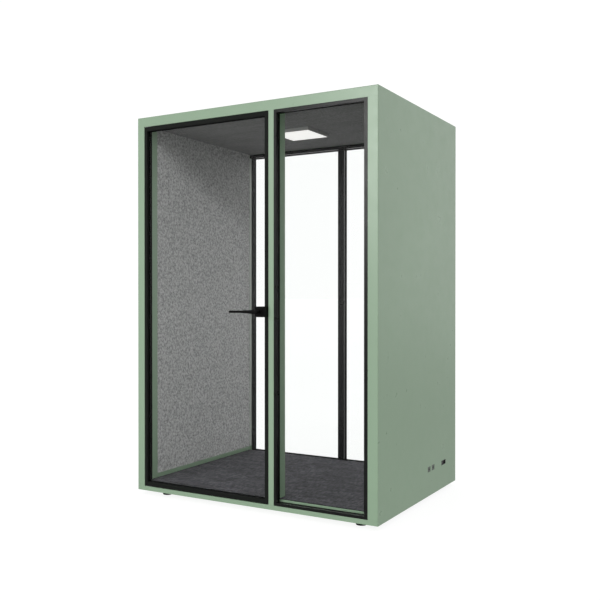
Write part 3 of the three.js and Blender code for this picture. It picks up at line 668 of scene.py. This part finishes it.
def lever(name, node, y, case_y):
    """One lever: a flat oval arm that swells into its boss, and the neck that enters the lock case."""
    bm = bmesh.new()
    tip, end = -180.0, 12.0
    xs = [-180.0, -150.0, -100.0, -60.0, -28.0, 0.0, 12.0]
    hs = [13.0, 13.0, 14.0, 17.5, 23.0, 25.0, 23.5]
    rings, n = [], 36
    prof = []
    for i in range(9):                                    # rounded tip
        t = math.pi / 2 * i / 8
        prof.append((tip + 5 * (1 - math.sin(math.pi / 2 - t)), math.sin(t) * 0.96 + 0.04))
    for i in range(1, 45):
        x = tip + 5 + (end - 6 - tip - 5) * i / 44
        prof.append((x, 1.0))
    for i in range(1, 9):
        t = math.pi / 2 * i / 8
        prof.append((end - 6 + 6 * math.sin(t), math.cos(t) * 0.96 + 0.04))
    for x, f in prof:
        h, t = spline(xs, hs, x) * (0.35 + 0.65 * f if f < 1 else 1), 12.0 * (0.30 + 0.70 * f if f < 1 else 1)
        ring = []
        for k in range(n):
            a = 2 * math.pi * k / n
            c, s = math.cos(a), math.sin(a)
            e = lambda q: math.copysign(abs(q) ** 0.78, q)
            ring.append(P(HUB_X + x, y + e(c) * t / 2, HUB_Z + e(s) * h / 2))
        rings.append(ring)
    skin(bm, rings)
    away = -1 if case_y > y else 1                        # from the case towards the arm
    length = abs(case_y - y) - 4.0
    turned(bm, [(9.4, 0.4), (10.0, 1.0), (10.0, length - 6), (10.6, length - 2), (10.8, length)],
           P(HUB_X, case_y, HUB_Z), "-y" if away < 0 else "y", 40)
    return piece(name, bm, BLACK_LOCK, "lever", [node], 38)


lever("lever_outer", "outer_lever", -656.0, -625.0)
lever("lever_inner", "inner_lever", -513.0, -545.0)
for name, y, way in (("rosette_outer", -625.0, "-y"), ("rosette_inner", -545.0, "y")):
    bm = bmesh.new()
    rings = [(11.2, 0.0), (19.5, 0.0), (20.0, 0.6), (20.0, 2.0), (19.2, 3.0), (14.0, 3.4), (11.6, 3.4), (11.2, 3.0)]
    ways = 1 if way == "y" else -1
    vs = []
    for r, h in rings:
        vs.append([bm.verts.new(P(HUB_X + r * math.cos(t), y + ways * h, HUB_Z + r * math.sin(t)))
                   for t in (2 * math.pi * i / 56 for i in range(56))])
    for a, b in zip(vs, vs[1:] + vs[:1]):
        for i in range(56):
            j = (i + 1) % 56
            bm.faces.new((a[i], a[j], b[j], b[i]))
    piece(name, bm, BLACK_LOCK, "door", (), 35)

bm = bmesh.new()
for z in (HUB_Z - 20, HUB_Z + 20):
    screw_head(bm, P(121.0, -625.0, z), "-y", 3.2, 1.4, 0.3)
    screw_head(bm, P(76.0, -545.0, z), "y", 3.2, 1.4, 0.7)
piece("lock_case_screws", bm, BLACK_LOCK, "door", (), 35)


# ---------------------------------------------------------------- levelling feet
for n in ("front_left", "front_right", "rear_left", "rear_right"):
    lo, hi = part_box(f"foot_{n}")
    c = Vector(((lo.x + hi.x) / 2, (lo.y + hi.y) / 2, 0))
    bm = bmesh.new()
    pad = [(0.01, 0.8), (8, 0.8), (9, 0), (14, 0), (15, 0.8), (19, 0.8), (20, 0), (26.4, 0), (28.6, 0.8), (29.8, 2.6), (30, 4.4),
           (29.4, 6.0), (27.5, 7.4), (24.5, 8.6), (16, 9.6), (12.5, 10.4), (12.2, 11.0), (0.01, 11.0)]
    turned(bm, pad, c, "z", 64)
    piece(f"foot_pad_{n}", bm, RUBBER, "shell", [f"foot_{n}"], 28)
    bm = bmesh.new()
    turned(bm, [(9.4, 11.0), (11.0, 11.9), (11.0, 16.2), (9.4, 17.0), (6.2, 17.0)], c, "z", 6, 0.26)
    thread = [(5.2, 16.8)]
    z = 17.4
    while z < 44:
        thread += [(5.95, z), (5.2, z + 0.75)]
        z += 1.5
    thread += [(5.0, 44.6), (4.4, 45.0)]
    turned(bm, thread, c, "z", 28)
    piece(f"foot_stem_{n}", bm, ZINC, "shell", (), 30)


# --------------------------------------------------------------------- light panel
lo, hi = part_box("light_diffuser")
bm = bmesh.new()
rim, cells = mm(7.0), 24
z0, z1 = lo.z, hi.z
xs = [lo.x + rim + (hi.x - lo.x - 2 * rim) * i / cells for i in range(cells + 1)]
ys = [lo.y + rim + (hi.y - lo.y - 2 * rim) * i / cells for i in range(cells + 1)]
grid = [[bm.verts.new((x, y, z0 + mm(0.9))) for y in ys] for x in xs]
for i in range(cells):
    for j in range(cells):
        q = (grid[i][j], grid[i + 1][j], grid[i + 1][j + 1], grid[i][j + 1])
        top = bm.verts.new(((xs[i] + xs[i + 1]) / 2, (ys[j] + ys[j + 1]) / 2, z0 + mm(2.1)))
        for a in range(4):
            bm.faces.new((q[a], q[(a + 1) % 4], top))
edge = [grid[i][0] for i in range(cells + 1)] + [grid[cells][j] for j in range(1, cells + 1)]
edge += [grid[i][cells] for i in range(cells - 1, -1, -1)] + [grid[0][j] for j in range(cells - 1, 0, -1)]
mid = Vector(((lo.x + hi.x) / 2, (lo.y + hi.y) / 2, 0))


def grown(v, d, z):
    """The rim point v moved out to d inside the panel's outline, at height z."""
    kx = ((hi.x - lo.x) / 2 - d) / ((hi.x - lo.x) / 2 - rim)
    ky = ((hi.y - lo.y) / 2 - d) / ((hi.y - lo.y) / 2 - rim)
    return Vector((mid.x + (v.co.x - mid.x) * kx, mid.y + (v.co.y - mid.y) * ky, z))


loops = [edge]
for d, z in ((6.0, z0), (1.2, z0), (0.35, z0 + mm(0.35)), (0.0, z0 + mm(1.2)), (0.0, z1)):
    loops.append([bm.verts.new(grown(v, mm(d), z)) for v in edge])
for a, b in zip(loops, loops[1:]):
    for i in range(len(edge)):
        j = (i + 1) % len(edge)
        bm.faces.new((a[i], a[j], b[j], b[i]))
bm.faces.new(loops[-1])
piece("light_panel", bm, LIGHT, "shell", ["light_diffuser"], 20)


# ------------------------------------------------------------------ small fittings
bm = bmesh.new()
for z in (HUB_Z - 28, HUB_Z + 28):
    screw_head(bm, P(138.0, -581.5, z), "-x", 3.4, 0.9, 0.4)
piece("strike_screws", bm, ZINC, "shell", (), 35)

bm = bmesh.new()
for y in (110.0, 390.0):
    for k in range(3):
        t = 2 * math.pi * k / 3 + 0.5
        screw_head(bm, P(540 + 56 * math.cos(t), y + 56 * math.sin(t), 2240.5), "-z", 2.6, 0.8, k)
piece("grille_screws", bm, ZINC, "shell", (), 35)

# thin black gaskets between the roof sheet and the fan ducts
for tag, fy in (("1", 110.0), ("2", 390.0)):
    bm = bmesh.new()
    rings = []
    for r, z in ((55.5, 2297.76), (0, 2297.76), (0, 2297.94), (55.5, 2297.94), (55.5, 2297.76)):
        ring = []
        for i in range(64):
            t = 2 * math.pi * (i + 0.5) / 64
            c, q = math.cos(t), math.sin(t)
            k = r or min(68.0 / max(abs(c), abs(q)), 84.0)
            ring.append(P(540.0 + k * c, fy + k * q, z))
        rings.append(ring)
    skin(bm, rings, True, False)
    piece(f"roof_duct_gasket_{tag}", bm, RUBBER, "shell", (), 35)

bm = bmesh.new()
for y in (-220.0, -90.0):
    screw_head(bm, P(731.0, y, 1103.0), "-x", 2.6, 0.7, 0.2)
piece("switch_plate_screws", bm, WHITE, "shell", (), 35)

for name, y, body in (("light_switch_pip", -188.0, "light_rocker"), ("fan_switch_pip", -122.0, "fan_rocker")):
    node = "light_switch" if body == "light_rocker" else "fan_switch"
    lo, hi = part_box(node)
    bm = bmesh.new()
    a = math.radians(4)
    # on the upper half of the rocker's face, which leans by the rocker's tilt and its own dish
    f = Vector((-3.9, 0, 16.0))
    x = f.x * math.cos(a) + f.z * math.sin(a)
    z = -f.x * math.sin(a) + f.z * math.cos(a)
    turned(bm, [(2.1, -0.5), (2.1, 0.35), (1.7, 0.6), (0.01, 0.7)], P(735 + x, y, 1103 + z), "-x", 24)
    piece(name, bm, GREEN, body, (), 30)

# mains inlet: fuse drawer beside the socket, contact blades in it
bm = bmesh.new()
box_mesh(bm, P(803.2, 347.0, 170.0), P(804.95, 373.0, 192.0), 0.5, 2)
box_mesh(bm, P(803.6, 352.0, 185.5), P(805.0, 368.0, 189.5), 0.35, 2)
piece("inlet_fuse_drawer", bm, PLASTIC, "shell", (), 35)
bm = bmesh.new()
for dy, dz in ((-7, -2), (0, 3), (7, -2)):
    box_mesh(bm, P(781.5, 392 + dy - 1.15, 181.0 + dz - 2.4), P(794.0, 392 + dy + 1.15, 181.0 + dz + 2.4), 0.3, 2)
piece("inlet_pins", bm, BRASS, "shell", (), 35)
bm = bmesh.new()
for y in (132.5, 199.0):
    for k in range(8):
        yy = y - 4.4 + k * 8.8 / 7
        box_mesh(bm, P(781.0, yy - 0.22, 184.6), P(799.0, yy + 0.22, 185.4), 0.08, 1)
piece("data_contacts", bm, BRASS, "shell", (), 35)


# ----------------------------------------------------------------- floor and light
bm = bmesh.new()
bmesh.ops.create_circle(bm, cap_ends=True, segments=96, radius=300)
me = bpy.data.meshes.new("studio_floor")
bm.to_mesh(me)
bm.free()
floor = bpy.data.objects.new("studio_floor", me)
floor.location.z = -0.0006
scene.collection.objects.link(floor)
k = Mat("studio_floor", Roughness=0.9, Specular_IOR_Level=0.1, Emission_Strength=0.88)
k.b.inputs["Emission Color"].default_value = (1, 1, 1, 1)
k.set(Base_Color=k.ramp(k.noise(0.8, 3), [(0.3, (0.17, 0.17, 0.17)), (0.7, (0.19, 0.19, 0.19))]))
me.materials.append(k.m)
floor.visible_glossy = False
floor.visible_diffuse = False

# soft surroundings: brightest in front and behind, dimmer on the right and below
world = bpy.data.worlds.new("studio")
scene.world = world
world.use_nodes = True
nt = world.node_tree
nt.nodes.clear()
out = nt.nodes.new("ShaderNodeOutputWorld")
bg = nt.nodes.new("ShaderNodeBackground")
bg.inputs["Color"].default_value = (1, 1, 1, 1)
nt.links.new(bg.outputs[0], out.inputs[0])
co = nt.nodes.new("ShaderNodeTexCoord")
sep = nt.nodes.new("ShaderNodeSeparateXYZ")
nt.links.new(co.outputs["Generated"], sep.inputs[0])


def wmath(op, a, b=0.0):
    n = nt.nodes.new("ShaderNodeMath")
    n.operation = op
    for s, v in zip(n.inputs, (a, b)):
        if isinstance(v, (int, float)):
            s.default_value = v
        else:
            nt.links.new(v, s)
    return n.outputs[0]


def lobe(axis, sign, level):
    part = wmath("MAXIMUM", wmath("MULTIPLY", sep.outputs[axis], sign), 0.0)
    return wmath("MULTIPLY", wmath("MULTIPLY", part, part), level)


LEVELS = {("X", 1): 0.71, ("X", -1): 1.02, ("Y", 1): 1.06, ("Y", -1): 0.50, ("Z", 1): 0.95, ("Z", -1): 0.8}
total = None
for (axis, sign), level in LEVELS.items():
    part = lobe(axis, sign, level)
    total = part if total is None else wmath("ADD", total, part)
low = nt.nodes.new("ShaderNodeMapRange")
low.interpolation_type = "SMOOTHSTEP"
low.inputs["From Min"].default_value = -0.11
low.inputs["From Max"].default_value = -0.01
low.inputs["To Min"].default_value = 0.52
low.inputs["To Max"].default_value = 1.0
nt.links.new(sep.outputs["Z"], low.inputs["Value"])
nt.links.new(wmath("MULTIPLY", total, low.outputs[0]), bg.inputs["Strength"])


def softbox(name, at, to, size, watts):
    light = bpy.data.lights.new(name, "AREA")
    light.shape = "RECTANGLE"
    light.size, light.size_y = size
    light.energy = watts
    o = bpy.data.objects.new(name, light)
    o.location = at
    o.rotation_euler = (Vector(to) - Vector(at)).to_track_quat("-Z", "Y").to_euler()
    o.visible_camera = False
    o.visible_glossy = False
    scene.collection.objects.link(o)
    return o


softbox("front_softbox", (-0.6, -5.0, 1.65), (-0.2, 0, 1.3), (5.0, 4.0), 99)

# bright panels in front, one broad and one high on the left, which show only as a sheen on the coated front
coated = bpy.data.collections.new("coated_front")
beaded = bpy.data.collections.new("coated_front_and_bead")
for n in ("front_left_jamb", "front_right_jamb", "front_mullion", "front_header", "front_sill"):
    coated.objects.link(NODES[n])
    beaded.objects.link(NODES[n])
beaded.objects.link(NODES["front_bead_frame"])
for name, at, to, size, watts, lit in (("broad_sheen", (-1.6, -5.0, 1.2), (-0.2, -0.57, 1.2), (6.0, 4.6), 48, coated),
                                       ("corner_sheen", (-0.55, -5.0, 3.0), (0.7, -0.57, 2.0), (1.7, 2.2), 105, beaded)):
    sheen = softbox(name, at, to, size, watts)
    sheen.visible_glossy = True
    sheen.visible_diffuse = False
    sheen.light_linking.receiver_collection = lit

# a high panel at the front right that reaches the felt walls through the door and leaves their tops in the header's shade
walls = bpy.data.collections.new("felt_walls")
for n in ("left_felt_board", "right_felt_board"):
    walls.objects.link(bpy.data.objects[n])
wall_light = softbox("wall_softbox", (4.0, -7.6, 6.5), (-0.74, 0.1, 2.85), (6.6, 6.6), 44)
wall_light.data.spread = math.radians(20)
wall_light.light_linking.receiver_collection = walls

cam = bpy.data.cameras.new("camera")
cam.lens = 48.115
cam.sensor_width = 36
cam.clip_end = 2000
camera = bpy.data.objects.new("camera", cam)
camera.location = (2.51505, -4.33976, 1.21584)
camera.rotation_euler = (math.radians(90 - 0.326), 0, math.radians(29.958))
scene.collection.objects.link(camera)
scene.camera = camera
scene.view_settings.view_transform = "Standard"
scene.view_settings.look = "None"
